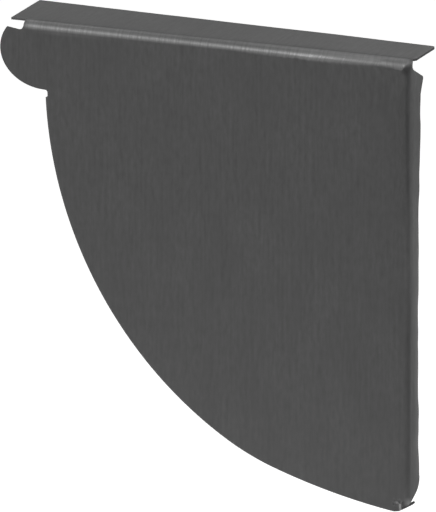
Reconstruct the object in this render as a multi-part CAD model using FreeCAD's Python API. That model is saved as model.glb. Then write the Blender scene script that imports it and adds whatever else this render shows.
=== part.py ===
import FreeCAD, Part
import math
import os

# A gutter end cap folded from one piece of zinc sheet. All sizes are in millimetres and degrees.
# X points at the back wall of the gutter, Y along the gutter and Z up.
# The origin lies on the inner face of the plate and the outer face of the back flange, level with the centre
# of the round edge.

sheet = 0.7  # thickness of the zinc sheet

# Round edge and the flange behind it: a wide arc, a tighter turn, a flat run and the bottom corner
curve_radius = 126.0  # outer face of the flange on the wide arc
curve_offset = 1.75  # centre of the wide arc, past the outer face of the back flange
curve_start = 2.9  # degrees below level where the flange begins
curve_stop = 59.3  # degrees below level where the turn begins
turn_radius = 85.6
turn_stop = 71.4  # degrees below level where the flat run begins
run_radius = 222.5
corner_radius = 4.2  # rounding of the bottom corner
corner_stop = 158.0  # degrees below level, on round the corner, where the slit cuts the plate off
curve_bend = 1.1  # outer radius of the fold
curve_depth = 9.7  # from the front of the plate to the free edge

# Top flange
top_height = 17.34  # sharp top edge of the plate above the origin
top_bend = 3.0  # outer radius of the fold
top_open = 4.0  # degrees that the flange stands open past square
top_depth_left = 22.0  # from the front of the plate to the free edge
top_depth_right = 17.0
top_overshoot = 1.0  # how far it stands past the outer face of the back flange
top_corner = 1.2  # rounding of the back corner
top_foot = 3.0  # depth at which its right end starts to slant in to the back fold
fold_length = 131.35  # from the back flange to the slit beside the bead cover
tab_length = 136.3  # from the back flange to the end of the flat tab
tab_inset = 1.8  # from the front of the plate to the front edge of the tab

# Back flange, with drops measured down from the sharp top edge
back_bend = 1.85  # outer radius of the fold
back_depth_top = 8.3  # from the front of the plate to the free edge
back_depth_middle = 6.75
back_depth_bottom = 7.8
tip_depth = 10.4  # the upper tip flares out beyond the free edge
tip_drop = 7.0
tip_flare = 5.0  # height over which the flare runs out
tip_corner = 0.8  # rounding of the tip
relief_depth = 1.95  # where the upper end leaves the top fold
relief_drop = 2.9
relief_corner = 2.6  # rounding where the upper end turns back
end_drop = 140.8  # lower end at the front of the plate
end_slope = 34.0  # degrees that the lower end climbs to the back
end_corner = 5.5  # rounding of the lower end

# Slit beside the back flange at the bottom corner
slit_width = 0.35
slit_drop = 139.3  # its upper end

# Flat cover over the end of the bead
bead_left = 123.8  # centre, measured from the back flange
bead_drop = 8.93  # centre, below the sharp top edge
bead_half_width = 15.45
bead_half_height = 12.3
bead_rise = 0.3  # how far its top corner stands above the fold line
dip_left = 133.1  # lowest point of its top edge, measured from the back flange
dip_drop = 0.25  # that point below the fold line
notch_radius = 0.8  # rounded relief under the cover

FAR = 200.0  # beyond the part on any side
Vector = FreeCAD.Vector
ORIGIN = Vector(0, 0, 0)
SIDEWAYS, ALONG, UP = Vector(1, 0, 0), Vector(0, 1, 0), Vector(0, 0, 1)


def line(start, end):
    return Part.LineSegment(start, end).toShape()


def arc(start, middle, end):
    return Part.Arc(start, middle, end).toShape()


def face(edges):
    return Part.Face(Part.Wire(Part.sortEdges(edges)[0]))


def prism(points, along):
    return Part.Face(Part.makePolygon(points + points[:1])).extrude(along)


def rounded(solid, corner, along, radius):
    """Rounds the edge that passes through a corner and runs along one axis."""
    edges = []
    for edge in solid.Edges:
        gaps = [(vertex.Point - corner).cross(along).Length for vertex in edge.Vertexes]
        if max(gaps) < 0.01:
            edges.append(edge)
    return solid.makeFillet(radius, edges)


def bend_points(radius, angle, offset):
    """Start, middle and end of one side of a bend, with X out of the plate and Y back from its front."""
    points = []
    reach = radius - offset
    for part in (0, 0.5, 1):
        turned = math.radians(angle * part)
        points.append(Vector(reach * math.sin(turned), radius - reach * math.cos(turned), 0))
    return points


def flange_direction(angle):
    return Vector(math.cos(math.radians(angle)), math.sin(math.radians(angle)), 0)


def fold_section(radius, angle, depth):
    """Section through a fold: the bend and the flange after it, one sheet thick."""
    outside = bend_points(radius, angle, 0)
    inside = bend_points(radius, angle, sheet)
    flange = flange_direction(angle) * (depth - outside[2].y)
    return face([
        arc(*outside),
        line(outside[2], outside[2] + flange),
        line(outside[2] + flange, inside[2] + flange),
        line(inside[2] + flange, inside[2]),
        arc(*inside),
        line(inside[0], outside[0]),
    ])


def fold_envelope(radius, angle):
    """Everything on the inner side of the outer face of a fold, as a section."""
    outside = bend_points(radius, angle, 0)
    end = outside[2] + flange_direction(angle) * FAR
    start = Vector(-FAR, 0, 0)
    behind = Vector(-FAR, end.y, 0)
    return face([
        line(start, outside[0]),
        arc(*outside),
        line(outside[2], end),
        line(end, behind),
        line(behind, start),
    ])


top_angle = 90 - top_open
top_setback = top_bend * math.tan(math.radians(top_angle / 2))
top_line = top_height - top_setback


def at_top(section):
    """Stands a section on the line where the top fold leaves the plate, with its X pointing up."""
    section.rotate(ORIGIN, ALONG, -90)
    section.translate(Vector(0, -sheet, top_line))
    return section


def at_back(section):
    """Puts a section on the line where the back fold leaves the plate."""
    section.translate(Vector(-back_bend, -sheet, 0))
    return section


def front(x, z):
    return Vector(x, -sheet, z)


def behind_front(depth, drop):
    """A point in the side view, by its depth behind the front and its drop below the top edge."""
    return Vector(-FAR / 2, depth - sheet, top_height - drop)


def out_from(angle):
    """Unit vector out of the round edge, by degrees below level on the left."""
    return Vector(-math.cos(math.radians(angle)), 0, -math.sin(math.radians(angle)))


# Centres of the arcs, each in line with the last centre and the point where the two arcs meet
slit_left = -back_bend - slit_width
flat_corner = corner_radius - curve_bend
corner_x = slit_left + flat_corner * math.cos(math.radians(corner_stop))
curve_centre = Vector(curve_offset, 0, 0)
turn_centre = curve_centre + out_from(curve_stop) * (curve_radius - turn_radius)
run_centre = turn_centre + out_from(turn_stop) * (turn_radius - run_radius)
run_stop = math.degrees(math.acos((run_centre.x - corner_x) / (run_radius - corner_radius)))
corner_centre = run_centre + out_from(run_stop) * (run_radius - corner_radius)


def plate_arc(centre, radius, start, stop):
    """Edge of the flat plate inside one arc of the round edge."""
    points = []
    for angle in (start, (start + stop) / 2, stop):
        point = centre + out_from(angle) * (radius - curve_bend)
        points.append(front(point.x, point.z))
    return arc(*points)


# Flat plate with the bead cover
flat_radius = curve_radius - curve_bend
slit_top = top_height - slit_drop
slit_foot = corner_centre.z - flat_corner * math.sin(math.radians(corner_stop))
bead_height = top_height - bead_drop

notch_z = bead_height - bead_half_height - notch_radius
notch_x = curve_offset - math.sqrt(flat_radius ** 2 - notch_z ** 2)
notch_angle = math.degrees(math.asin(-notch_z / flat_radius))
notch_middle = front(notch_x - notch_radius * (1 - math.sqrt(0.5)), notch_z + notch_radius * math.sqrt(0.5))

bead_low = -math.acos((notch_x - notch_radius + bead_left) / bead_half_width)
bead_high = math.pi - math.asin((top_line + bead_rise - bead_height) / bead_half_height)
bead_ellipse = Part.Ellipse(
    front(-bead_left + bead_half_width, bead_height),
    front(-bead_left, bead_height + bead_half_height),
    front(-bead_left, bead_height),
)
bead_edge = Part.ArcOfEllipse(bead_ellipse, bead_high, bead_low + 2 * math.pi)

slit_right_head = front(-back_bend, slit_top)
slit_middle_head = front(slit_left + slit_width / 2, slit_top + slit_width / 2)
slit_left_head = front(slit_left, slit_top)
bead_dip = front(-dip_left, top_line - dip_drop)
fold_end = front(-fold_length, top_line)
fold_start = front(-back_bend, top_line)
plate = face([
    line(fold_start, slit_right_head),
    arc(slit_right_head, slit_middle_head, slit_left_head),
    line(slit_left_head, front(slit_left, slit_foot)),
    plate_arc(corner_centre, corner_radius, corner_stop, run_stop),
    plate_arc(run_centre, run_radius, run_stop, turn_stop),
    plate_arc(turn_centre, turn_radius, turn_stop, curve_stop),
    plate_arc(curve_centre, curve_radius, curve_stop, notch_angle),
    arc(front(notch_x, notch_z), notch_middle, bead_edge.EndPoint),
    bead_edge.toShape(),
    line(bead_edge.StartPoint, bead_dip),
    line(bead_dip, fold_end),
    line(fold_end, fold_start),
]).extrude(ALONG * sheet)

# Top flange, cut to its outline in plan and mitred where it meets the back fold
top_outline = prism(
    [
        Vector(-tab_length, -FAR, -FAR / 2),
        Vector(0, -FAR, -FAR / 2),
        Vector(0, relief_depth - sheet, -FAR / 2),
        Vector(top_overshoot, top_foot - sheet, -FAR / 2),
        Vector(top_overshoot, top_depth_right - sheet, -FAR / 2),
        Vector(-tab_length, top_depth_left - sheet, -FAR / 2),
    ],
    UP * FAR,
)
top_outline = rounded(top_outline, Vector(top_overshoot, top_depth_right - sheet, 0), UP, top_corner)
top_reach = top_depth_left + top_depth_right
top_fold = at_top(fold_section(top_bend, top_angle, top_reach))
top_fold.translate(SIDEWAYS * top_overshoot)
top_fold = top_fold.extrude(SIDEWAYS * -(fold_length + top_overshoot))
back_inside = at_back(fold_envelope(back_bend, 90)).extrude(UP * FAR)
behind_relief = Part.makeBox(FAR, FAR, FAR, Vector(-FAR / 2, relief_depth - sheet, -FAR / 2))
top_fold = top_fold.common(top_outline).common(back_inside.fuse(behind_relief))

# Flat tab that carries the top flange on past the slit
rise = math.tan(math.radians(top_open))
drop = sheet / math.cos(math.radians(top_open))
tab_front = Vector(-tab_length, tab_inset - sheet, top_height + rise * tab_inset)
tab_back = Vector(-tab_length, top_reach - sheet, top_height + rise * top_reach)
tab = prism(
    [tab_front, tab_back, tab_back - UP * drop, tab_front - UP * drop],
    SIDEWAYS * (tab_length - fold_length),
).common(top_outline)

# Back flange, cut to its outline in the side view and mitred where it meets the top fold
end_rise = math.tan(math.radians(end_slope)) * back_depth_bottom
edge_top = behind_front(back_depth_top, tip_drop + tip_flare)
edge_bottom = behind_front(back_depth_bottom, end_drop - end_rise)
edge_middle = behind_front(back_depth_middle, (tip_drop + tip_flare + end_drop - end_rise) / 2)
tip = behind_front(tip_depth, tip_drop)
relief = behind_front(relief_depth, relief_drop)
above = behind_front(relief_depth, -FAR)
above_front = behind_front(0, -FAR)
below_front = behind_front(0, end_drop)
back_outline = face([
    line(below_front, above_front),
    line(above_front, above),
    line(above, relief),
    line(relief, tip),
    line(tip, edge_top),
    arc(edge_top, edge_middle, edge_bottom),
    line(edge_bottom, below_front),
]).extrude(SIDEWAYS * FAR)
back_outline = rounded(back_outline, edge_bottom, SIDEWAYS, end_corner)
back_outline = rounded(back_outline, tip, SIDEWAYS, tip_corner)
back_outline = rounded(back_outline, relief, SIDEWAYS, relief_corner)
back_fold = at_back(fold_section(back_bend, 90, tip_depth + sheet)).extrude(UP * FAR * 2)
back_fold.translate(UP * -FAR)
top_inside = at_top(fold_envelope(top_bend, top_angle)).extrude(SIDEWAYS * -FAR)
back_fold = back_fold.common(back_outline).common(top_inside)


def curved_flange(centre, radius, start, stop):
    """Fold and flange along one arc of the round edge."""
    section = fold_section(curve_bend, 90, curve_depth)
    section.translate(Vector(radius - curve_bend, -sheet, 0))
    section.rotate(ORIGIN, ALONG, 180 - start)
    section.translate(centre)
    return section.revolve(centre, ALONG, start - stop)


# Flange round the curve and into the bottom corner, as far as the slit
beyond_slit = Part.makeBox(FAR, FAR, FAR, Vector(slit_left, -FAR / 2, -FAR))
curve_fold = curved_flange(curve_centre, curve_radius, curve_start, curve_stop).fuse([
    curved_flange(turn_centre, turn_radius, curve_stop, turn_stop),
    curved_flange(run_centre, run_radius, turn_stop, run_stop),
    curved_flange(corner_centre, corner_radius, run_stop, corner_stop).cut(beyond_slit),
])

end_cap = plate.fuse([top_fold, tab, back_fold, curve_fold]).removeSplitter()
end_cap = end_cap.Solids[0]

os.makedirs("parts", exist_ok=True)
end_cap.exportStep("parts/end_cap.step")
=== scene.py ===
import math

import bpy
import numpy as np
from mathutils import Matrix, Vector
from mathutils.geometry import delaunay_2d_cdt


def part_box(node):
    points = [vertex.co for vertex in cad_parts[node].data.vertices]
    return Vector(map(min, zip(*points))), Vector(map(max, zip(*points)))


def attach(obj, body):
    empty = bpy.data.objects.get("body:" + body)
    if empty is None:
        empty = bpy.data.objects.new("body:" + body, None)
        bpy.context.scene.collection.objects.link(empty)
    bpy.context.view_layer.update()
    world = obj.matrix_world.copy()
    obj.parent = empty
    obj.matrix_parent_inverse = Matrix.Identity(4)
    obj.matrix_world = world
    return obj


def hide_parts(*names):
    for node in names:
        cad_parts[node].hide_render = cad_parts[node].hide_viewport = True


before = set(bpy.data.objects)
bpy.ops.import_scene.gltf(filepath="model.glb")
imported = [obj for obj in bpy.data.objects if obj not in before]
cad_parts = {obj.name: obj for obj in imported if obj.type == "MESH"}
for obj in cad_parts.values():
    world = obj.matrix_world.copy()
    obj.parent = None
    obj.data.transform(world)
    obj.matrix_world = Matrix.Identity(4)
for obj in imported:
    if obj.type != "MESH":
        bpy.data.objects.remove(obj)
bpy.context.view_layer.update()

# The cap is cut flat as a blank, folded by a rule and given the thickness of its sheet.
# Lengths are in metres. X points at the back wall of the gutter, Y along the gutter and Z up.
MM = 0.001
CAP_LOW, CAP_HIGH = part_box("end_cap")
SHEET = -CAP_LOW.y

# Round edge: a wide arc, a tighter turn, a flat run and the bottom corner
CURVE_RADIUS = 126.0 * MM
CURVE_OFFSET = 1.75 * MM
CURVE_START = math.radians(2.9)
CURVE_STOP = math.radians(59.3)
TURN_RADIUS = 85.6 * MM
TURN_STOP = math.radians(71.4)
RUN_RADIUS = 222.5 * MM
CORNER_RADIUS = 4.2 * MM
CORNER_STOP = math.radians(158.0)
CURVE_BEND = 1.1 * MM
CURVE_DEPTH = 9.7 * MM

# Top flange and its tab
TOP_HEIGHT = 17.34 * MM
TOP_BEND = 3.0 * MM
TOP_ANGLE = math.radians(86.0)
TOP_DEPTH_LEFT = 22.0 * MM
TOP_DEPTH_RIGHT = 17.0 * MM
TOP_OVERSHOOT = CAP_HIGH.x
TOP_CORNER = 1.2 * MM
TOP_FOOT = 3.0 * MM
FOLD_LENGTH = 131.35 * MM
FOLD_CORNER = 1.5 * MM
TAB_LENGTH = 136.3 * MM
TAB_INSET = 1.8 * MM
KERF = 0.05 * MM
SNIP_PITCH = 0.82 * MM
SNIP_DEPTH = 0.15 * MM

# Back flange, with drops measured down from the sharp top edge
SQUARE = math.radians(90.0)
BACK_BEND = 1.85 * MM
BACK_DEPTH_TOP = 8.3 * MM
BACK_DEPTH_MIDDLE = 6.75 * MM
BACK_DEPTH_BOTTOM = 7.8 * MM
TIP_DEPTH = 10.4 * MM
TIP_DROP = 7.0 * MM
TIP_FLARE = 5.0 * MM
TIP_CORNER = 0.8 * MM
RELIEF_DEPTH = 1.95 * MM
RELIEF_DROP = 2.9 * MM
RELIEF_CORNER = 2.6 * MM
END_DROP = 140.8 * MM
END_SLOPE = math.radians(34.0)
END_CORNER = 5.5 * MM

# Slit at the bottom corner
SLIT_WIDTH = 0.35 * MM
SLIT_DROP = 139.3 * MM

# Bead cover and the notch under it
BEAD_LEFT = 123.8 * MM
BEAD_DROP = 8.93 * MM
BEAD_HALF_WIDTH = 15.45 * MM
BEAD_HALF_HEIGHT = 12.3 * MM
BEAD_RISE = 0.3 * MM
DIP_LEFT = 133.1 * MM
DIP_DROP = 0.25 * MM
NOTCH_RADIUS = 0.8 * MM

# Spacing and settings of the mesh
EDGE_STEP = 1.2 * MM
CELL = 2.4 * MM
FINE_STEP = 0.4 * MM
FINE_REACH = 8 * MM
BEND_ROWS = 10
CORNER_PIECES = 5
MITRE_STEPS = 8
SLOPE_STEPS = 10
SAME_POINT = 0.0001 * MM
INSIDE_ONLY = 1

# Which fold a point of the blank belongs to
PLATE, TOP, TAB, BACK, CURVE = range(5)

# Where the folds leave the flat plate
TOP_LINE = TOP_HEIGHT - TOP_BEND * math.tan(TOP_ANGLE / 2)
BACK_LINE = -BACK_BEND
FLAT_RADIUS = CURVE_RADIUS - CURVE_BEND
FLAT_CORNER = CORNER_RADIUS - CURVE_BEND
SLIT_LEFT = BACK_LINE - SLIT_WIDTH
SLIT_TOP = TOP_HEIGHT - SLIT_DROP
END_LINE = TOP_HEIGHT - END_DROP
BEAD_CENTRE = Vector((-BEAD_LEFT, TOP_HEIGHT - BEAD_DROP))


class Graph:
    """A node tree that is filled by calls and by arithmetic on its sockets."""

    def __init__(self, tree):
        self.tree = tree

    def node(self, kind, settings=None, **sockets):
        """Adds a node, applies its settings, then fills its sockets by name.

        A trailing number picks one of several sockets with the same name.
        """
        made = self.tree.nodes.new(kind)
        for name, value in (settings or {}).items():
            setattr(made, name, value)
        for name, value in sockets.items():
            self.fill(find_socket(made.inputs, name), value)
        return made

    def fill(self, socket, value):
        if isinstance(value, Field):
            self.tree.links.new(value.socket, socket)
        else:
            socket.default_value = value

    def field(self, node, output=0):
        return Field(self, node.outputs[output])


class Field:
    """A socket that takes part in Python arithmetic, each step of which adds a Math node."""

    def __init__(self, graph, socket):
        self.graph = graph
        self.socket = socket

    def math(self, operation, *values):
        """A Math node that takes this value first."""
        made = self.graph.tree.nodes.new("ShaderNodeMath")
        made.operation = operation
        for socket, value in zip(made.inputs, (self, *values)):
            self.graph.fill(socket, value)
        return Field(self.graph, made.outputs[0])

    def __add__(self, other):
        return self.math("ADD", other)

    def __sub__(self, other):
        return self.math("SUBTRACT", other)

    def __mul__(self, other):
        return self.math("MULTIPLY", other)

    def __truediv__(self, other):
        return self.math("DIVIDE", other)

    def __neg__(self):
        return self.math("MULTIPLY", -1.0)

    def __rsub__(self, other):
        return -self + other

    def __rtruediv__(self, other):
        return self.math("POWER", -1.0) * other

    __radd__ = __add__
    __rmul__ = __mul__

    def equals(self, number):
        return self.math("COMPARE", float(number), 0.5)

    def above(self, number):
        return self.math("GREATER_THAN", number)

    def at_least(self, number):
        return self.math("MAXIMUM", number)

    def at_most(self, number):
        return self.math("MINIMUM", number)

    def between(self, low, high):
        return self.at_least(low).at_most(high)

    def pick(self, chosen, other):
        """One value where this is one and another where it is nothing."""
        return other + self * (chosen - other)

    def sine(self):
        return self.math("SINE")

    def cosine(self):
        return self.math("COSINE")


def find_socket(sockets, name):
    """A socket by its name in lower case with underscores, such as noise_scale or vector_1."""
    words, _, number = name.rpartition("_")
    wanted, place = (words, int(number)) if number.isdigit() else (name, 0)
    matches = [s for s in sockets if s.enabled and s.name.lower().replace(" ", "_") == wanted]
    return matches[place]


def fade(distance, reach):
    """One at no distance, falling to nothing at the reach."""
    return (1.0 - distance.math("ABSOLUTE") / reach).at_least(0.0)


def ramp(distance, reach):
    """Nothing up to no distance, rising to one at the reach."""
    return (distance / reach).between(0.0, 1.0)


# The blank


def flat_distance(depth, radius, angle):
    """How far a point lies from its fold line on the flat sheet, by its depth once the sheet is folded."""
    bend_depth = radius * (1 - math.cos(angle))
    if depth < bend_depth:
        return radius * math.acos(1 - depth / radius)
    return radius * angle + (depth - bend_depth) / math.sin(angle)


def stretch(start, end, step=EDGE_STEP):
    """Evenly spaced points from start up to, but not including, end."""
    start, end = Vector(start), Vector(end)
    count = max(1, math.ceil((end - start).length / step))
    return [start.lerp(end, i / count) for i in range(count)]


def close_up(start, end):
    """Points from start up to, but not including, end, with fine steps on the last stretch."""
    near = Vector(end) + (Vector(start) - Vector(end)).normalized() * FINE_REACH
    return stretch(start, near) + stretch(near, end, FINE_STEP)


def sweep(centre, radius, start, stop, step=EDGE_STEP):
    """Points on an arc up to, but not including, its end; angles run from the right towards up."""
    count = max(3, math.ceil(abs(stop - start) * radius / step))
    angles = [start + (stop - start) * i / count for i in range(count)]
    return [Vector(centre) + Vector((math.cos(a), math.sin(a))) * radius for a in angles]


def round_corner(before, corner, after, radius):
    """Points that round a corner of an outline, both tangent points included."""
    corner = Vector(corner)
    back, on = (Vector(before) - corner).normalized(), (Vector(after) - corner).normalized()
    half = back.angle(on) / 2
    centre = corner + (back + on).normalized() * radius / math.sin(half)
    first = corner + back * radius / math.tan(half) - centre
    last = corner + on * radius / math.tan(half) - centre
    shares = [i / CORNER_PIECES for i in range(CORNER_PIECES + 1)]
    return [centre + first.slerp(last, share) * radius for share in shares]


def mitre_depths():
    """Depths at which the mitre between the top and back folds has points."""
    return [RELIEF_DEPTH * (i / MITRE_STEPS) ** 2 for i in range(MITRE_STEPS + 1)]


def mitre_reach(depth):
    """How far right the top fold reaches where it meets the back fold, at a depth behind the front."""
    if depth >= BACK_BEND:
        return 0.0
    return BACK_LINE + math.sqrt(BACK_BEND ** 2 - (BACK_BEND - depth) ** 2)


def mitre_height(depth):
    """How high the back fold reaches where it meets the top fold, at a depth behind the front."""
    turned = math.acos(max(1 - depth / TOP_BEND, math.cos(TOP_ANGLE)))
    return TOP_LINE + TOP_BEND * math.sin(turned)


def top_point(x, depth):
    return Vector((x, TOP_LINE + flat_distance(depth, TOP_BEND, TOP_ANGLE)))


def back_point(depth, drop):
    return Vector((BACK_LINE + flat_distance(depth, BACK_BEND, SQUARE), TOP_HEIGHT - drop))


def out_from(angle):
    """Unit vector out of the round edge, by its angle below level on the left."""
    return Vector((-math.cos(angle), -math.sin(angle)))


def round_edge():
    """Arcs of the line where the round edge folds: centre, radius, start angle and stop angle."""
    corner_x = SLIT_LEFT + FLAT_CORNER * math.cos(CORNER_STOP)
    curve_centre = Vector((CURVE_OFFSET, 0.0))
    turn_centre = curve_centre + out_from(CURVE_STOP) * (CURVE_RADIUS - TURN_RADIUS)
    run_centre = turn_centre + out_from(TURN_STOP) * (TURN_RADIUS - RUN_RADIUS)
    run_stop = math.acos((run_centre.x - corner_x) / (RUN_RADIUS - CORNER_RADIUS))
    corner_centre = run_centre + out_from(run_stop) * (RUN_RADIUS - CORNER_RADIUS)
    return [
        (curve_centre, FLAT_RADIUS, CURVE_START, CURVE_STOP),
        (turn_centre, TURN_RADIUS - CURVE_BEND, CURVE_STOP, TURN_STOP),
        (run_centre, RUN_RADIUS - CURVE_BEND, TURN_STOP, run_stop),
        (corner_centre, FLAT_CORNER, run_stop, CORNER_STOP),
    ]


ROUND_EDGE = round_edge()


def curve_point(distance, along):
    """A point of the curved strip, by its distance outside the fold line and its place along it."""
    for centre, radius, start, stop in ROUND_EDGE:
        angle = start + along / radius
        if angle <= stop:
            break
        along -= radius * (stop - start)
    return centre + out_from(angle) * (radius + distance)


def curve_length(distance):
    """How far along its fold line the slit cuts the curved strip off, at a distance outside the line."""
    centre, radius, start, _ = ROUND_EDGE[-1]
    folded_radius = radius + CURVE_BEND * math.sin(min(distance / CURVE_BEND, SQUARE))
    heading = math.acos((centre.x - SLIT_LEFT) / folded_radius) - start
    return sum(r * (stop - start) for _, r, start, stop in ROUND_EDGE[:-1]) + radius * heading


def from_fold(point, fold):
    """How far a point of the blank lies outside its fold line, and the way out from the line."""
    if fold in (TOP, TAB):
        return point.y - TOP_LINE, Vector((0, 1))
    if fold == BACK:
        return point.x - BACK_LINE, Vector((1, 0))
    if fold == CURVE:
        slack = 0.0001
        for centre, radius, start, stop in ROUND_EDGE:
            arm = point - centre
            if start - slack < math.atan2(-arm.y, -arm.x) < stop + slack:
                return arm.length - radius, arm.normalized()
    return 0.0, Vector((0, 0))


def top_outline():
    """Free edge of the top flange, from the back of the tab to the relief at the back fold."""
    left = top_point(-TAB_LENGTH, TOP_DEPTH_LEFT)
    right = top_point(TOP_OVERSHOOT, TOP_DEPTH_RIGHT)
    foot = top_point(TOP_OVERSHOOT, TOP_FOOT)
    corner = round_corner(left, right, foot, TOP_CORNER)
    slant = stretch(foot, top_point(mitre_reach(RELIEF_DEPTH), RELIEF_DEPTH), FINE_STEP)
    tab_end = left.lerp(right, (TAB_LENGTH - FOLD_LENGTH) / (TAB_LENGTH + TOP_OVERSHOOT))
    points = [(p, TAB) for p in stretch(left, tab_end)]
    points += [(p, TOP) for p in stretch(tab_end, corner[0])]
    points += [(p, TOP) for p in corner[:-1] + stretch(corner[-1], foot) + slant]
    return points


def mitre_outline():
    """Both sides of the mitre, which meet when the sheet is folded."""
    depths = mitre_depths()
    points = [(top_point(mitre_reach(depth), depth), TOP) for depth in reversed(depths)]
    points += [(back_point(depth, TOP_HEIGHT - mitre_height(depth)), BACK) for depth in depths[1:]]
    return points


def back_depth(drop):
    """Depth of the free edge of the back flange below its flared tip."""
    first, last = TIP_DROP + TIP_FLARE, END_DROP - math.tan(END_SLOPE) * BACK_DEPTH_BOTTOM
    place = 2 * (drop - first) / (last - first) - 1
    bow = (BACK_DEPTH_TOP + BACK_DEPTH_BOTTOM) / 2 - BACK_DEPTH_MIDDLE
    return BACK_DEPTH_MIDDLE + bow * place ** 2 + (BACK_DEPTH_BOTTOM - BACK_DEPTH_TOP) / 2 * place


def back_outline():
    """Free edge of the back flange, from the relief at the top fold to the foot of the slit."""
    relief, tip = back_point(RELIEF_DEPTH, RELIEF_DROP), back_point(TIP_DEPTH, TIP_DROP)
    flare_drop = TIP_DROP + TIP_FLARE
    flare = back_point(back_depth(flare_drop), flare_drop)
    low_drop = END_DROP - math.tan(END_SLOPE) * BACK_DEPTH_BOTTOM
    low = back_point(BACK_DEPTH_BOTTOM, low_drop)
    mitre_end = back_point(RELIEF_DEPTH, TOP_HEIGHT - mitre_height(RELIEF_DEPTH))
    relief_round = round_corner(mitre_end, relief, tip, RELIEF_CORNER)
    tip_round = round_corner(relief, tip, flare, TIP_CORNER)
    end_depths = [BACK_DEPTH_BOTTOM * (1 - i / SLOPE_STEPS) for i in range(SLOPE_STEPS + 1)]
    slope = [back_point(depth, END_DROP - math.tan(END_SLOPE) * depth) for depth in end_depths]
    end_round = round_corner(flare, low, slope[1], END_CORNER)
    drops = np.arange(flare_drop, TOP_HEIGHT - end_round[0].y - EDGE_STEP / 2, EDGE_STEP)
    points = stretch(mitre_end, relief_round[0], FINE_STEP)[1:] + relief_round[:-1]
    points += stretch(relief_round[-1], tip_round[0], FINE_STEP) + tip_round[:-1]
    points += stretch(tip_round[-1], flare)
    points += [back_point(back_depth(drop), drop) for drop in drops]
    points += end_round + [p for p in slope if p.x < end_round[-1].x - EDGE_STEP / 2]
    return [(p, BACK) for p in points]


def slit_outline():
    """The slit beside the back fold, up one side and down the other to the curved strip."""
    foot = back_point(0, END_DROP)
    head = Vector((SLIT_LEFT + SLIT_WIDTH / 2, SLIT_TOP))
    strip = curve_point(0, curve_length(0))
    points = stretch(foot, (BACK_LINE, SLIT_TOP))[1:]
    points += sweep(head, SLIT_WIDTH / 2, 0, math.pi, SLIT_WIDTH / 4)
    points += stretch((SLIT_LEFT, SLIT_TOP), strip)
    return [(p, PLATE) for p in points]


def fold_rows(radius, angle, depth):
    """Distances from a fold line at which its strip has rows of points."""
    bend = [radius * angle * i / BEND_ROWS for i in range(BEND_ROWS + 1)]
    free = flat_distance(depth, radius, angle)
    count = math.ceil((free - bend[-1]) / CELL)
    return bend + [bend[-1] + (free - bend[-1]) * (i + 1) / count for i in range(count)]


def curve_places(length):
    """Evenly spaced places along the fold line of the curved strip, both ends included."""
    count = math.ceil(length / EDGE_STEP)
    return [length * i / count for i in range(count + 1)]


def curve_outline():
    """Free edges of the curved strip: the end at the slit, the long edge and the start under the notch."""
    rows = fold_rows(CURVE_BEND, SQUARE, CURVE_DEPTH)
    points = [curve_point(distance, curve_length(distance)) for distance in rows[:-1]]
    points += [curve_point(rows[-1], along) for along in reversed(curve_places(curve_length(rows[-1])))]
    points += [curve_point(distance, 0) for distance in reversed(rows[1:-1])]
    return [(p, CURVE) for p in points]


def bead_outline():
    """Edge of the plate from the curved strip round the notch and the bead cover to the top fold."""
    notch_z = BEAD_CENTRE.y - BEAD_HALF_HEIGHT - NOTCH_RADIUS
    notch_x = CURVE_OFFSET - math.sqrt(FLAT_RADIUS ** 2 - notch_z ** 2)
    low = -math.acos((notch_x - NOTCH_RADIUS - BEAD_CENTRE.x) / BEAD_HALF_WIDTH)
    high = -math.pi - math.asin((TOP_LINE + BEAD_RISE - BEAD_CENTRE.y) / BEAD_HALF_HEIGHT)
    count = math.ceil((low - high) * BEAD_HALF_WIDTH / EDGE_STEP)
    points = stretch(curve_point(0, 0), (notch_x, notch_z), EDGE_STEP / 2)
    points += sweep((notch_x - NOTCH_RADIUS, notch_z), NOTCH_RADIUS, 0, math.pi / 2, EDGE_STEP / 4)
    for number in range(count + 1):
        angle = low + (high - low) * number / count
        across = Vector((BEAD_HALF_WIDTH * math.cos(angle), BEAD_HALF_HEIGHT * math.sin(angle)))
        points.append(BEAD_CENTRE + across)
    points += stretch(points[-1], (-DIP_LEFT, TOP_LINE - DIP_DROP))[1:]
    points.append(Vector((-DIP_LEFT, TOP_LINE - DIP_DROP)))
    return [(p, PLATE) for p in points]


def tab_outline():
    """Rounded left end of the top fold, the cut beside it, and the snipped front and side of the tab."""
    join = TOP_LINE + TOP_BEND * TOP_ANGLE
    bend_depth = TOP_BEND * (1 - math.cos(TOP_ANGLE))
    front = join + (TAB_INSET - bend_depth) / math.sin(TOP_ANGLE)
    inner, fold_top = Vector((-FOLD_LENGTH, TOP_LINE - DIP_DROP)), Vector((-FOLD_LENGTH, join))
    rise = round_corner((-DIP_LEFT, TOP_LINE - DIP_DROP), inner, fold_top, FOLD_CORNER)
    rise += stretch(rise[-1], fold_top, FINE_STEP)[1:] + [fold_top]
    right, left = Vector((-FOLD_LENGTH - KERF, front)), Vector((-TAB_LENGTH, front))
    tab = stretch((right.x, join), right, EDGE_STEP / 2)
    snips = 2 * round((right.x - left.x) / SNIP_PITCH)
    for number in range(snips):
        notch = Vector((0, SNIP_DEPTH * (number % 2)))
        tab.append(right.lerp(left, number / snips) + notch)
    tab += stretch(left, top_point(-TAB_LENGTH, TOP_DEPTH_LEFT))
    return [(p, TOP) for p in rise] + [(p, TAB) for p in tab]


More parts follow.
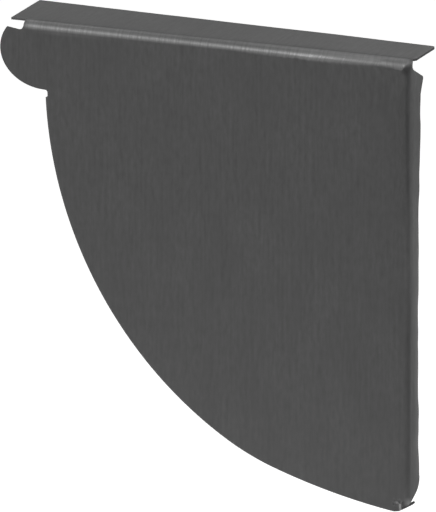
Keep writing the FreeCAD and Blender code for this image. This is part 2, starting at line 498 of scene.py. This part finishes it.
def top_lattice():
    points = []
    for distance in fold_rows(TOP_BEND, TOP_ANGLE, TOP_DEPTH_LEFT):
        depth = TOP_BEND * (1 - math.cos(min(distance / TOP_BEND, TOP_ANGLE)))
        flat = distance > TOP_BEND * TOP_ANGLE - KERF
        z = TOP_LINE + distance
        right = TOP_OVERSHOOT if flat else mitre_reach(depth)
        points += [(p, TOP) for p in close_up((-FOLD_LENGTH, z), (right, z))]
        if flat:
            points += [(p, TAB) for p in stretch((-TAB_LENGTH, z), (-FOLD_LENGTH, z))]
    return points


def back_lattice():
    points = []
    for distance in fold_rows(BACK_BEND, SQUARE, TIP_DEPTH):
        depth = BACK_BEND * (1 - math.cos(min(distance / BACK_BEND, SQUARE)))
        x = BACK_LINE + distance
        points += [(p, BACK) for p in close_up((x, END_LINE), (x, mitre_height(depth)))]
    return points


def curve_lattice():
    points = []
    for distance in fold_rows(CURVE_BEND, SQUARE, CURVE_DEPTH):
        places = curve_places(curve_length(distance))[:-1]
        points += [(curve_point(distance, along), CURVE) for along in places]
    return points


def plate_lattice():
    """Points in a triangular pattern over the plate and the bead cover, clear of the folds."""
    points = []
    for number, z in enumerate(np.arange(TOP_LINE - CELL, -CURVE_RADIUS, -CELL * math.sqrt(0.75))):
        first = BACK_LINE - CELL * (1 + number % 2 / 2)
        for x in np.arange(first, CAP_LOW.x, -CELL):
            inside = math.hypot(x - CURVE_OFFSET, z) < FLAT_RADIUS - CELL * 0.75
            if inside or z > BEAD_CENTRE.y - BEAD_HALF_HEIGHT:
                points.append((Vector((x, z)), PLATE))
    return points


def clear_of(outline, points, room):
    """Keeps the points that lie inside an outline and not too near to it."""
    ring = np.array([tuple(p) for p, _ in outline])
    after = np.roll(ring, -1, axis=0)
    way = after - ring
    kept = []
    for point, fold in points:
        offset = np.array(point) - ring
        share = np.clip((offset * way).sum(1) / (way * way).sum(1), 0, 1)
        near = np.hypot(*(offset - way * share[:, None]).T).min()
        crosses = (ring[:, 1] > point.y) != (after[:, 1] > point.y)
        reach = ring[crosses, 0] + (point.y - ring[crosses, 1]) * way[crosses, 0] / way[crosses, 1]
        if near > room and np.count_nonzero(reach > point.x) % 2:
            kept.append((point, fold))
    return kept


def cut_blank():
    """The flat sheet as a mesh in the XZ plane, with its grain map and how each point lies to its fold."""
    outline = top_outline() + mitre_outline() + back_outline() + slit_outline()
    outline += curve_outline() + bead_outline() + tab_outline()
    filling = clear_of(outline, top_lattice() + back_lattice() + curve_lattice(), EDGE_STEP / 8)
    filling += clear_of(outline, plate_lattice(), CELL / 3)
    points = outline + filling
    ring = [list(range(len(outline)))]
    made = delaunay_2d_cdt([p / MM for p, _ in points], [], ring, INSIDE_ONLY, SAME_POINT / MM)
    corners, faces, sources = made[0], made[2], made[3]
    mesh = bpy.data.meshes.new("blank")
    mesh.from_pydata([(p.x * MM, 0.0, p.y * MM) for p in corners], [], faces)
    folds = [max(points[i][1] for i in source) for source in sources]
    reaches = [from_fold(p * MM, fold) for p, fold in zip(corners, folds)]
    outward = [part for _, way in reaches for part in (way.x, 0.0, way.y)]
    mesh.attributes.new("fold", "INT", "POINT").data.foreach_set("value", folds)
    mesh.attributes.new("distance", "FLOAT", "POINT").data.foreach_set("value", [d for d, _ in reaches])
    mesh.attributes.new("outward", "FLOAT_VECTOR", "POINT").data.foreach_set("vector", outward)
    grain = mesh.uv_layers.new(name="grain")
    for loop in mesh.loops:
        grain.data[loop.index].uv = mesh.vertices[loop.vertex_index].co.xz
    return mesh


# The folding

SAG_X = -34 * MM
SAG_REACH = 27 * MM
EASING_ROUNDS = 16
EASED_TURN = 5 / 7
BULGE_HEIGHT = 0.7
SHARP_EDGE = math.radians(40.0)
FOLD_SIZES = {
    "Sheet": SHEET,
    "Top bend": TOP_BEND,
    "Top angle": TOP_ANGLE,
    "Back bend": BACK_BEND,
    "Curve bend": CURVE_BEND,
    "Top sag": 0.8 * MM,
    "Top wave": 0.006,
    "Flange wave": 0.18,
    "Wave length": 11 * MM,
    "Wave seed": 8.8692,
    "Easing reach": 60 * MM,
    "Bulge reach": 3.5 * MM,
    "Corner bulge": 0.5 * MM,
}


def here(graph):
    """Where each point of the sheet lies."""
    return graph.field(graph.node("GeometryNodeInputPosition"))


def stored(graph, name, kind="FLOAT"):
    """An attribute of the points of the sheet."""
    return graph.field(graph.node("GeometryNodeInputNamedAttribute", {"data_type": kind}, name=name))


def near_point(graph, point, reach):
    """One at a point, falling to nothing at the reach."""
    place = here(graph)
    apart = graph.node("ShaderNodeVectorMath", {"operation": "DISTANCE"}, vector_0=place, vector_1=point)
    return (1.0 - graph.field(apart, "Value") / reach).at_least(0.0)


def soften_corner(graph, sheet, size):
    """Eases the top and back folds towards the corner where they meet, and lets it bulge a little."""
    around = graph.node("GeometryNodeInputMeshVertexNeighbors")
    inside = (graph.field(around, "Vertex Count") - graph.field(around, "Face Count")).equals(0)
    below_top = fade(stored(graph, "top_turn"), EASED_TURN)
    near = near_point(graph, (0.0, 0.0, TOP_HEIGHT), size["Easing reach"])
    blurred = graph.node(
        "GeometryNodeBlurAttribute",
        {"data_type": "FLOAT_VECTOR"},
        value=here(graph),
        iterations=EASING_ROUNDS,
        weight=near * near * inside * below_top,
    )
    rounded = graph.node("GeometryNodeSetPosition", geometry=sheet, position=graph.field(blurred))
    crown = (0.0, SHEET / 2, TOP_LINE + TOP_BEND * BULGE_HEIGHT)
    near = near_point(graph, crown, size["Bulge reach"])
    push = graph.node("ShaderNodeCombineXYZ", x=near * near * size["Corner bulge"])
    return graph.node("GeometryNodeSetPosition", geometry=graph.field(rounded), offset=graph.field(push))


def fold_tree(finish):
    """Geometry nodes that fold the blank along its lines, let the flanges wave and close the mitre."""
    tree = bpy.data.node_groups.new("fold_sheet", "GeometryNodeTree")
    tree.interface.new_socket("Geometry", in_out="INPUT", socket_type="NodeSocketGeometry")
    tree.interface.new_socket("Geometry", in_out="OUTPUT", socket_type="NodeSocketGeometry")
    for name in FOLD_SIZES:
        tree.interface.new_socket(name, in_out="INPUT", socket_type="NodeSocketFloat")
    graph = Graph(tree)
    entry = graph.node("NodeGroupInput")
    size = {name: graph.field(entry, name) for name in FOLD_SIZES}

    fold = stored(graph, "fold", "INT")
    distance, outward = stored(graph, "distance"), stored(graph, "outward", "FLOAT_VECTOR")
    on_top, on_tab, on_back = fold.equals(TOP), fold.equals(TAB), fold.equals(BACK)
    along_top = on_top + on_tab
    x = graph.field(graph.node("ShaderNodeSeparateXYZ", vector=here(graph)), "X")
    sag = fade(x - SAG_X, SAG_REACH) * along_top * size["Top sag"]
    distance += sag * math.tan(TOP_ANGLE / 2)
    radius = along_top.pick(size["Top bend"], on_back.pick(size["Back bend"], size["Curve bend"])) + sag
    angle = along_top.pick(size["Top angle"], SQUARE)
    wave = along_top.pick(size["Top wave"], size["Flange wave"])
    seed = graph.node("ShaderNodeCombineXYZ", y=size["Wave seed"])
    place = graph.node("ShaderNodeVectorMath", vector_0=here(graph), vector_1=graph.field(seed))
    noise = graph.node(
        "ShaderNodeTexNoise",
        vector=graph.field(place),
        scale=1.0 / size["Wave length"],
        detail=1.0,
    )
    ripple = graph.field(noise) - 0.5

    turned = (distance / radius).at_least(on_tab * angle).at_most(angle)
    run = distance - radius * turned
    out = radius * turned.sine() + run * (turned.cosine() + ripple * wave)
    back = radius * (1.0 - turned.cosine()) + run * turned.sine()
    share = turned / angle
    marks = {
        "top_turn": share * along_top,
        "crease": share * (1.0 - share) * on_back * 4.0,
        "lip": run * on_back / (BACK_DEPTH_MIDDLE - BACK_BEND),
    }
    sheet = graph.field(entry, "Geometry")
    for name, amount in marks.items():
        kept = graph.node(
            "GeometryNodeStoreNamedAttribute",
            {"data_type": "FLOAT", "domain": "POINT"},
            geometry=sheet,
            name=name,
            value=amount,
        )
        sheet = graph.field(kept)
    set_back = graph.node("ShaderNodeCombineXYZ", y=back - size["Sheet"])
    shift = graph.node(
        "ShaderNodeVectorMath",
        {"operation": "MULTIPLY_ADD"},
        vector_0=outward,
        vector_1=out - distance,
        vector_2=graph.field(set_back),
    )
    moved = graph.node("GeometryNodeSetPosition", geometry=sheet, offset=graph.field(shift))
    joined = graph.node("GeometryNodeMergeByDistance", geometry=graph.field(moved), distance=KERF / 10)
    softened = soften_corner(graph, graph.field(joined), size)
    whole = graph.node("GeometryNodeRealizeInstances", geometry=graph.field(softened))
    finished = graph.node("GeometryNodeSetMaterial", geometry=graph.field(whole), material=finish)
    graph.node("NodeGroupOutput", geometry=graph.field(finished))
    return tree


def fold_cap(finish, cut_finish):
    """Cuts and folds the sheet, gives it thickness and stands it in for the solid."""
    blank = cut_blank()
    blank.materials.append(finish)
    blank.materials.append(cut_finish)
    draft = bpy.data.objects.new("cap_draft", blank)
    bpy.context.collection.objects.link(draft)
    folding = draft.modifiers.new("fold", "NODES")
    folding.node_group = fold_tree(finish)
    for socket in folding.node_group.interface.items_tree:
        if socket.name in FOLD_SIZES:
            folding[socket.identifier] = FOLD_SIZES[socket.name]
    wall = draft.modifiers.new("sheet", "SOLIDIFY")
    wall.thickness = SHEET
    wall.offset = -1.0
    wall.use_even_offset = True
    wall.use_quality_normals = True
    wall.material_offset_rim = 1
    ready = draft.evaluated_get(bpy.context.evaluated_depsgraph_get())
    mesh = bpy.data.meshes.new_from_object(ready)
    bpy.data.objects.remove(draft)
    mesh.shade_smooth()
    mesh.set_sharp_from_angle(angle=SHARP_EDGE)
    cap = bpy.data.objects.new("folded_cap", mesh)
    bpy.context.collection.objects.link(cap)
    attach(cap, "root")
    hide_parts("end_cap")


# The finish: worn marks, painted light and painted shade are placed on the flat blank, and each mark ends
# with its strength

PATINA_GREY = 0.0675
# The rubbed band on the top fold is paler metal with a painted highlight.
SHINE_AND_HIGHLIGHT_GREY = 0.067
# The cut edge is painted darker than the patina, for the shade on the cut faces.
SHADED_CUT_GREY = 0.03
ZINC_ROUGHNESS = 0.5
ZINC_GLOSS = 0.1


def new_material(name):
    material = bpy.data.materials.new(name)
    material.use_nodes = True
    material.node_tree.nodes.clear()
    return material, Graph(material.node_tree)


def grain_noise(graph, across, along, detail=2.0):
    """Noise on the flat blank, by how many specks it has to a metre across and along the rolling."""
    grain = graph.node("ShaderNodeUVMap", {"uv_map": "grain"})
    scaled = graph.node(
        "ShaderNodeVectorMath",
        {"operation": "MULTIPLY"},
        vector_0=graph.field(grain),
        vector_1=(across, along, 1.0),
    )
    noise = graph.node(
        "ShaderNodeTexNoise",
        {"noise_dimensions": "2D"},
        vector=graph.field(scaled),
        scale=1.0,
        detail=detail,
    )
    return graph.field(noise) - 0.5


def mark(graph, name):
    """A mark that the folding left on the sheet."""
    return graph.field(graph.node("ShaderNodeAttribute", {"attribute_name": name}), "Fac")


def place_on_blank(graph):
    """Place on the flat blank, to the right and up."""
    grain = graph.node("ShaderNodeUVMap", {"uv_map": "grain"})
    split = graph.node("ShaderNodeSeparateXYZ", vector=graph.field(grain))
    return graph.field(split, "X"), graph.field(split, "Y")


def place_on_cap(graph):
    """Place on the folded cap, along X and Z."""
    place = graph.node("ShaderNodeTexCoord")
    split = graph.node("ShaderNodeSeparateXYZ", vector=graph.field(place, "Object"))
    return graph.field(split, "X"), graph.field(split, "Z")


def turn_at(up):
    """How far round the top fold a height on the blank lies: nothing at the plate, one at the flange."""
    return (up - TOP_LINE) / (TOP_BEND * TOP_ANGLE)


def patch(right, up, centre, reach):
    """One at a centre, falling to nothing at the reach to each side and at the reach up and down."""
    return fade(right - centre[0], reach[0]) * fade(up - centre[1], reach[1])


def rubbed_shine_and_highlight_of_top_fold(graph, right, up):
    """Where the top fold is rubbed bright and carries a painted highlight: a band that sags, ends at a
    slant and spills over the corner.
    """
    turn = turn_at(up)
    sag = fade(right - SAG_X, SAG_REACH) * 0.12 + fade(right, 9 * MM) * 0.2
    lower_side, upper_side = ramp(turn + sag, 0.125), ramp(0.9 - turn, 0.22)
    left_end = ramp(right + FOLD_LENGTH + 1.2 * MM, 4 * MM)
    slant_end = ramp((up - TOP_LINE) * 1.2 - right - 1.8 * MM, 1.5 * MM)
    # Painted highlight: the band is brighter where the fold sags and duller near its right end and further
    # to the left.
    brightest = fade(right - SAG_X, 13 * MM) * 0.32
    dull_end = fade(right + 8 * MM, 8 * MM) * 0.12
    dull_middle = fade(right + 78 * MM, 35 * MM) * 0.15
    lower_side_highlight = fade(turn - 0.23 + fade(right, 12 * MM) * 0.14, 0.25) * 0.62 - 0.345
    band = lower_side * upper_side * left_end * slant_end
    band *= (1.0 + brightest - dull_end) * (1.0 - dull_middle)
    band *= 1.0 + ramp(right + 105 * MM, 75 * MM) * lower_side_highlight
    x, z = place_on_cap(graph)
    spill = patch(x, z, (-0.9 * MM, TOP_LINE + 1.6 * MM), (1.6 * MM, 1.3 * MM)) * 0.5
    sparkle = (0.7 + grain_noise(graph, 1500.0, 60.0, 3.0) * 0.9).between(0.0, 1.0)
    return (band + spill) * sparkle


def painted_light_of_top_flange(right, up):
    """Painted highlights on the top flange: how much paler it is painted at both ends and along both sides
    of its fold.
    """
    turn = turn_at(up)
    before_corner = ramp(-right, 2 * MM)
    # Painted highlights: a thin line and a wider glow near the top of the fold, the fold's left end, the
    # flange's right end and back corner, and a soft tail along the fold's foot.
    crest = fade(turn - 0.83, 0.12) * ramp(right + 90 * MM, 60 * MM) * before_corner * 0.45
    towards_back = 0.2 + ramp(right + 70 * MM, 60 * MM) * 0.8
    wide_crest = fade(turn - 0.68, 0.22) * towards_back * before_corner * 1.1
    on_fold = ramp(turn, 0.5) * ramp(1.0 - turn, 0.05)
    left_end = fade(right + FOLD_LENGTH - 1 * MM, 4.5 * MM) * on_fold * 0.45
    right_end = ramp(turn - 0.95, 0.1) * ramp(right + 70 * MM, 70 * MM) * 0.31
    back_corner = patch(right, up, (1 * MM, TOP_LINE + 17.5 * MM), (5 * MM, 5 * MM)) * 0.3
    left_stretch = ramp(-94 * MM - right, 25 * MM) * ramp(right + 129 * MM, 8 * MM)
    right_stretch = fade(right + 26 * MM, 14 * MM) * 0.75
    foot = fade(up - TOP_LINE + 0.2 * MM, 0.9 * MM) * (left_stretch + right_stretch) * 0.32
    return crest + wide_crest + left_end + right_end + back_corner + foot


def painted_light_of_back_flange(graph, right, up):
    """Painted light and shade on the back flange and its fold: how much paler or darker it is painted, with
    painted highlights along the crease, the free edge and the corner, and painted shade beside the fold and
    under the corner.
    """
    crease, lip = mark(graph, "crease"), mark(graph, "lip")
    # Painted light: the crease of the back fold is painted lighter, most at mid height and near its foot,
    # with a little random tone.
    folded = grain_noise(graph, 25.0, 55.0) * 0.3 + ramp(-up, 30 * MM) * 0.1
    folded += fade(up + 46 * MM, 25 * MM) * 0.4 + fade(up + 121 * MM, 9 * MM) * 0.25
    height = (up + 75 * MM) / (42 * MM)
    # Painted highlight along the lower part of the flange's free edge.
    edge = lip * lip * lip * (1.0 - height * height * height * height).at_least(0.0) * 1.2
    # Painted sheen on the flange, lighter over its upper half and a little darker near the bottom.
    sheen = (fade(up + 22 * MM, 64 * MM) * 0.4 - fade(up + 102 * MM, 22 * MM) * 0.12) * ramp(lip, 0.33)
    # Painted light on the outer side of the fold near the top, on the flange beside the fold, and at the
    # foot of the free edge.
    rise = patch(right, up, (0.7 * MM, 0.0), (1.2 * MM, 45 * MM)) * 0.2
    flank_light = ramp(right, 0.5 * MM) * ramp(4.2 * MM - right, 2.2 * MM) * ramp(up + 62 * MM, 15 * MM) * 0.16
    foot = lip * fade(up + 116 * MM, 12 * MM) * 0.12
    # Painted highlight where the back fold meets the top fold, and painted shade along the start of the
    # back fold near the top and in the corner just below the top fold.
    crown = patch(right, up, (0.4 * MM, TOP_LINE + 2 * MM), (1.5 * MM, 1.4 * MM)) * 1.6
    fold_shade = fade(right + 1 * MM, 1 * MM) * ramp(up + 16 * MM, 8 * MM) * 0.07
    corner_shade = patch(right, up, (-1.5 * MM, TOP_LINE - 0.8 * MM), (2.6 * MM, 2 * MM)) * 0.45
    return crease * folded + edge + sheen + rise + flank_light + foot + crown - fold_shade - corner_shade


def wear_and_shade_of_bottom_corner(graph, right, up):
    """How much paler or darker the metal is beside the slit and below it: a burr and scuffs, a paler patch
    at the foot of the back flange, and painted shade at the end of the curved strip and beside the slit.
    """
    burr = fade(right - SLIT_LEFT + 0.65 * MM, 0.5 * MM) * (SLIT_TOP - up).above(0.6 * MM) * 3.0
    corner = patch(right, up, (SLIT_LEFT - 1.6 * MM, SLIT_TOP - 0.3 * MM), (2.2 * MM, 1.8 * MM))
    scuff = corner * (grain_noise(graph, 1100.0, 1100.0) * 2.4 + 0.1) * 2.2
    flange_end = patch(right, up, (0.0, END_LINE + 1.3 * MM), (1.8 * MM, 1.8 * MM)) * 2.0
    # Painted shade on the end of the curved strip and on the edge of the back fold beside the slit.
    strip_end_shade = (right - SLIT_LEFT).above(0.0) * (END_LINE - up).above(0.3 * MM) * 0.55
    gap_shade = fade(right - BACK_LINE - 0.35 * MM, 0.5 * MM) * (SLIT_TOP - up).above(-0.3 * MM) * 0.4
    return burr + scuff + flange_end - strip_end_shade - gap_shade


def weathered_zinc():
    """Grey patina streaked along the rolling, painted with shade on the plate and with light and shade on
    the flanges, rubbed bright with a painted highlight on the top fold and scuffed at the slit.
    """
    material, graph = new_material("weathered_zinc")
    right, up = place_on_blank(graph)
    clouds = grain_noise(graph, 70.0, 40.0)
    streaks = grain_noise(graph, 800.0, 330.0) * (0.24 + clouds * 0.4)
    streaks += grain_noise(graph, 850.0, 110.0) * 0.2 + grain_noise(graph, 900.0, 28.0) * 0.15
    # Painted shade: the patina is painted darker towards the top and beside the back fold, and lighter
    # towards the bottom.
    painted_shade_gradient = 0.948 - up * 0.51 + up * up * 14.0 - fade(right + 5 * MM, 25 * MM) * 0.035
    patina = (streaks + clouds * 0.16 + painted_shade_gradient) * PATINA_GREY
    # Worn marks at the slit, with painted light and painted shade on both flanges and at the bottom corner.
    wear_and_painted_light = painted_light_of_top_flange(right, up) + painted_light_of_back_flange(graph, right, up)
    wear_and_painted_light += wear_and_shade_of_bottom_corner(graph, right, up)
    # Rubbed metal with a painted highlight along the top fold, which also adds metal and takes off
    # roughness.
    shine_and_highlight = rubbed_shine_and_highlight_of_top_fold(graph, right, up)
    bump = graph.node("ShaderNodeBump", strength=0.25, distance=0.02 * MM, height=streaks)
    shader = graph.node(
        "ShaderNodeBsdfPrincipled",
        base_color=patina * (1.0 + wear_and_painted_light) + shine_and_highlight * SHINE_AND_HIGHLIGHT_GREY,
        metallic=shine_and_highlight * 0.5,
        roughness=ZINC_ROUGHNESS - shine_and_highlight * 0.12,
        specular_ior_level=ZINC_GLOSS,
        normal=graph.field(bump),
    )
    graph.node("ShaderNodeOutputMaterial", surface=graph.field(shader))
    return material


def cut_zinc():
    """Sheared edge of the sheet, painted dark for shade, and paler along the snipped front of the tab."""
    material, graph = new_material("cut_zinc")
    right, up = place_on_blank(graph)
    turn = turn_at(up)
    tab_front = (-right).above(FOLD_LENGTH) * turn.above(0.5) * (1.0 - turn).above(0.0) * 0.06
    foot = patch(right, up, (0.5 * MM, TOP_LINE + 4.2 * MM), (1 * MM, 1 * MM)) * 0.06
    # Painted shade: the cut edge at the end of the curved strip is painted darker still.
    strip_end_shade = (END_LINE - up).above(0.3 * MM) * (right + 15 * MM).above(0.0) * 0.02
    shader = graph.node(
        "ShaderNodeBsdfPrincipled",
        base_color=SHADED_CUT_GREY + tab_front + foot - strip_end_shade,
        metallic=0.3,
        roughness=ZINC_ROUGHNESS,
        specular_ior_level=ZINC_GLOSS,
    )
    graph.node("ShaderNodeOutputMaterial", surface=graph.field(shader))
    return material


# The studio

VIEW_AZIMUTH = math.radians(25.44)
VIEW_ELEVATION = math.radians(13.33)
VIEW_DISTANCE = 6.3
LIGHT_DISTANCE = 1.5
FLOOR_DROP = 0.09
FLOOR_HALF = 4.0
WORLD_LIGHT = 0.3
PHOTO_WIDTH, PHOTO_HEIGHT = 436, 512
PIXELS_PER_METRE = 3252.5
PLATE_MIDDLE = Vector((-55, 0, -40)) * MM
PLATE_MIDDLE_PIXEL = Vector((247.7, 225.25))


def view_axes():
    """Unit vectors from the object to the camera, to the right in the picture and up in the picture."""
    level = Vector((math.sin(VIEW_AZIMUTH), -math.cos(VIEW_AZIMUTH), 0))
    towards = level * math.cos(VIEW_ELEVATION) + Vector((0, 0, math.sin(VIEW_ELEVATION)))
    right = Vector((-level.y, level.x, 0))
    return towards, right, towards.cross(right)


def place_camera():
    """Aims at the point in the middle of the picture, found from where the middle of the plate shows."""
    towards, right, up = view_axes()
    shift = (Vector((PHOTO_WIDTH, PHOTO_HEIGHT)) / 2 - PLATE_MIDDLE_PIXEL) / PIXELS_PER_METRE
    middle = PLATE_MIDDLE + right * shift.x - up * shift.y
    data = bpy.data.cameras.new("camera")
    data.sensor_width = 36.0
    data.lens = data.sensor_width * VIEW_DISTANCE * PIXELS_PER_METRE / PHOTO_HEIGHT
    data.clip_start, data.clip_end = 0.1, 40.0
    camera = bpy.data.objects.new("camera", data)
    camera.location = middle + towards * VIEW_DISTANCE
    camera.rotation_euler = towards.to_track_quat("Z", "Y").to_euler()
    bpy.context.collection.objects.link(camera)
    bpy.context.scene.camera = camera
    return middle


def soft_box(name, middle, direction, width, height, power):
    """An area lamp that faces the middle of the cap from a direction."""
    data = bpy.data.lights.new(name, "AREA")
    data.shape = "RECTANGLE"
    data.size, data.size_y = width, height
    data.energy = power
    lamp = bpy.data.objects.new(name, data)
    way = Vector(direction).normalized()
    lamp.location = middle + way * LIGHT_DISTANCE
    lamp.rotation_euler = way.to_track_quat("Z", "Y").to_euler()
    bpy.context.collection.objects.link(lamp)


def seen_itself(graph):
    """One where the camera, a reflection or a transmitted ray sees a surface, nothing for other light."""
    path = graph.node("ShaderNodeLightPath")
    seen = graph.field(path, "Is Camera Ray") + graph.field(path, "Is Glossy Ray")
    return (seen + graph.field(path, "Is Transmission Ray")).at_most(1.0)


def white_world():
    """White where it is seen, and dimmer as a light on the object."""
    world = bpy.data.worlds.new("studio")
    world.use_nodes = True
    world.node_tree.nodes.clear()
    graph = Graph(world.node_tree)
    strength = seen_itself(graph).pick(1.0, WORLD_LIGHT)
    light = graph.node("ShaderNodeBackground", color=(1.0, 1.0, 1.0, 1.0), strength=strength)
    graph.node("ShaderNodeOutputWorld", surface=graph.field(light))
    bpy.context.scene.world = world


def pale_floor():
    """A wide pale floor some way below the cap, which is held up as it is in use."""
    half, low = FLOOR_HALF, CAP_LOW.z - FLOOR_DROP
    corners = [(-half, -half, low), (half, -half, low), (half, half, low), (-half, half, low)]
    mesh = bpy.data.meshes.new("floor")
    mesh.from_pydata(corners, [], [(0, 1, 2, 3)])
    floor = bpy.data.objects.new("floor", mesh)
    bpy.context.collection.objects.link(floor)
    material, graph = new_material("floor_white")
    shader = graph.node("ShaderNodeBsdfDiffuse", color=(0.95, 0.95, 0.95, 1.0))
    glow = graph.node("ShaderNodeEmission", color=(1.0, 1.0, 1.0, 1.0), strength=seen_itself(graph) * 0.5)
    both = graph.node("ShaderNodeAddShader", shader_0=graph.field(shader), shader_1=graph.field(glow))
    graph.node("ShaderNodeOutputMaterial", surface=graph.field(both))
    mesh.materials.append(material)


def build_studio():
    middle = place_camera()
    white_world()
    pale_floor()
    soft_box("key_light", middle, (-0.42, -0.70, 0.55), width=1.0, height=0.5, power=15.0)
    soft_box("fill_light", middle, (0.75, 0.60, 0.30), width=0.8, height=0.8, power=7.9)
    soft_box("top_light", middle, (-0.42, 0.31, 0.85), width=0.5, height=0.3, power=1.9)
    bpy.context.scene.view_settings.view_transform = "Standard"


fold_cap(weathered_zinc(), cut_zinc())
build_studio()
